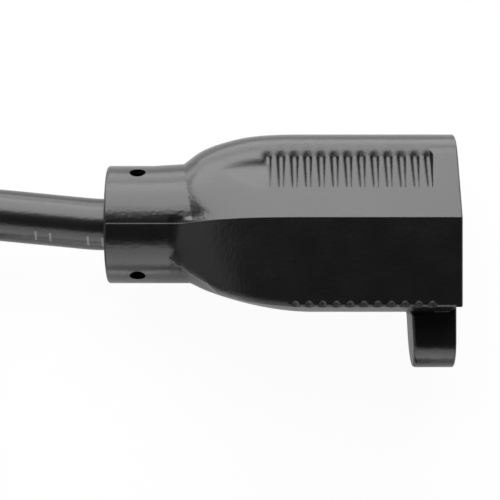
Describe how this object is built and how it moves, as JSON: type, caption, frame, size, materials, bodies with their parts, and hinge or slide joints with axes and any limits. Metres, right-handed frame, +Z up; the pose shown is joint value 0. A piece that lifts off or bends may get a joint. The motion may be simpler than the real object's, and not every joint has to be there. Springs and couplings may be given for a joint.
{
  "type": "power cord",
  "caption": "Moulded black power cord: a receptacle connector with grip grooves and a lug, a round cable in a tied coil, and a shrouded appliance-inlet plug.",
  "frame": {"origin": "centre of the connector's box, on the surface that the connector lies on", "axes": "+X leaves the connector's mating face, +Y is the connector's earth side, +Z is up from the surface"},
  "size_m": [0.1871, 0.1082, 0.026],
  "materials": {
    "moulding": "fine grained black PVC",
    "insert": "satin black",
    "jacket": "satin black PVC",
    "contact_brass": "bright",
    "pin_metal": "nickel plated",
    "earth_insulation": "satin green",
    "line_insulation": "satin black",
    "neutral_insulation": "satin white",
    "strap": "woven black"
  },
  "bodies": {
    "root": {"connector_overmould": "moulding", "contact_carrier": "insert", "line_contact": "contact_brass", "neutral_contact": "contact_brass", "earth_contact": "contact_brass", "connector_earth_wire": "earth_insulation", "connector_line_wire": "line_insulation", "connector_neutral_wire": "neutral_insulation", "plug_overmould": "moulding", "plug_carrier": "insert", "plug_line_pin": "pin_metal", "plug_neutral_pin": "pin_metal", "plug_earth_pin": "pin_metal", "plug_earth_wire": "earth_insulation", "plug_line_wire": "line_insulation", "plug_neutral_wire": "neutral_insulation", "cord_lead": "jacket", "cord_coil": "jacket", "cord_tail": "jacket", "coil_tie": "strap"}
  },
  "joints": []
}
